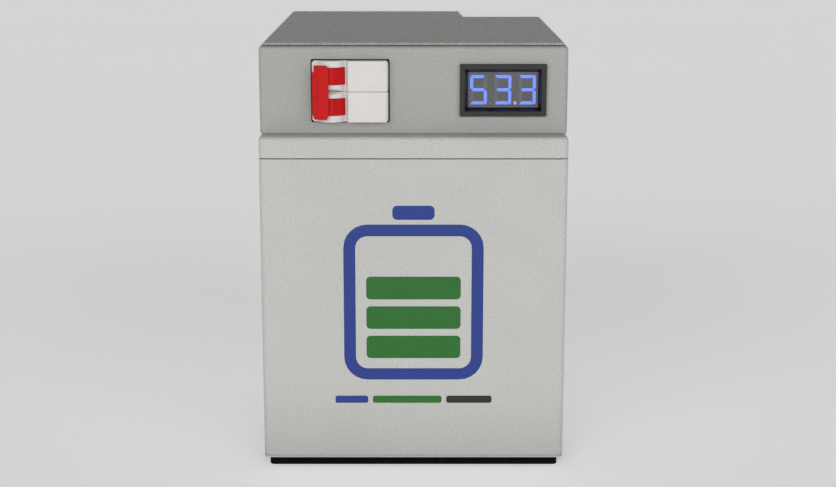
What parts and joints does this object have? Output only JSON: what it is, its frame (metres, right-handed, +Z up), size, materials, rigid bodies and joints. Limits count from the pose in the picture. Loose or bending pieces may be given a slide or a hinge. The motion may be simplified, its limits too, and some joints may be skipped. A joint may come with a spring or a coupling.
{
  "type": "rechargeable battery pack",
  "caption": "Upright rectangular steel-cased battery pack with a lidded tub, a top electronics housing, a toggle breaker, a digital voltmeter and a rear corner terminal well.",
  "frame": {"origin": "centre of the rectangular footprint, at the level the rubber mat stands on", "axes": "+Z up, -Y towards the front with the breaker and voltmeter, +X to the right of somebody facing the front"},
  "size_m": [0.1794, 0.264, 0.253],
  "materials": {
    "case_paint": "fine-textured powder coat, satin",
    "housing_paint": "fine-textured powder coat, satin",
    "cover_paint": "fine-textured powder coat, satin gloss",
    "rubber_black": "matte",
    "seal_black": "matte",
    "zinc_steel": "zinc plated",
    "copper": "tinned and bare copper",
    "breaker_white": "satin moulded thermoset",
    "toggle_red": "semi-gloss moulded",
    "bezel_black": "satin moulded",
    "display_smoke": "smoked filter",
    "circuit_green": "solder mask",
    "tray_black": "moulded",
    "post_brass": "machined",
    "cell_blue": "blue film sleeve over aluminium can",
    "cell_foam": "closed-cell pad",
    "plate_grey": "glass-filled board",
    "heatsink_alu": "extruded",
    "cable_red": "silicone insulation",
    "cable_black": "silicone insulation",
    "digit_blue": "lit display segment",
    "digit_dark": "unlit display segment",
    "digit_lilac": "lit decimal point",
    "mark_blue": "printed ink",
    "mark_green": "printed ink",
    "mark_black": "printed ink"
  },
  "bodies": {
    "root": {"arc_chutes": "zinc_steel", "base_mat": "rubber_black", "bms_board": "circuit_green", "bms_heatsink": "heatsink_alu", "bms_screws": "zinc_steel", "busbars": "copper", "cable_battery_negative": "cable_black", "cable_battery_positive": "cable_red", "cable_bms_output": "cable_black", "cable_breaker_load": "cable_red", "case_lid": "case_paint", "case_shell": "case_paint", "cell_01": "cell_blue", "cell_02": "cell_blue", "cell_03": "cell_blue", "cell_04": "cell_blue", "cell_05": "cell_blue", "cell_06": "cell_blue", "cell_07": "cell_blue", "cell_08": "cell_blue", "cell_09": "cell_blue", "cell_10": "cell_blue", "cell_11": "cell_blue", "cell_12": "cell_blue", "cell_13": "cell_blue", "cell_14": "cell_blue", "cell_15": "cell_blue", "cell_16": "cell_blue", "clamp_cages": "zinc_steel", "cover_gasket": "seal_black", "cover_screws": "zinc_steel", "din_rail": "zinc_steel", "end_plates": "plate_grey", "fixed_contacts": "copper", "lid_gasket": "seal_black", "lid_standoffs": "zinc_steel", "meter_bezel": "bezel_black", "meter_board": "circuit_green", "meter_display": "display_smoke", "module_cover": "cover_paint", "module_housing": "housing_paint", "module_screws": "zinc_steel", "pack_base_pad": "cell_foam", "pack_straps": "zinc_steel", "pole_case_lower": "breaker_white", "pole_case_upper": "breaker_white", "pole_cover_lower": "breaker_white", "pole_cover_upper": "breaker_white", "pole_link": "copper", "rail_bracket": "zinc_steel", "terminal_bars": "copper", "terminal_negative": "post_brass", "terminal_positive": "post_brass", "terminal_tray": "tray_black", "toggle_pin": "zinc_steel", "trip_coils": "copper"},
    "breaker_handle": {"toggle_lower": "toggle_red", "toggle_upper": "toggle_red", "toggle_tie_bar": "toggle_red"},
    "contact_arms": {"contact_arms": "copper"}
  },
  "joints": [
    {"name": "breaker_throw", "type": "hinge", "parent": "root", "child": "breaker_handle", "pos_m": [-0.048, -0.1175, 0.2254], "axis": [0, 0, 1], "range_deg": [0, 56]},
    {"name": "contact_swing", "type": "hinge", "parent": "root", "child": "contact_arms", "pos_m": [-0.04085, -0.098, 0.2254], "axis": [0, 0, 1], "range_deg": [-14, 0]}
  ],
  "couplings": [
    {"joint": "contact_swing", "follows": "breaker_throw", "ratio": -0.25}
  ]
}
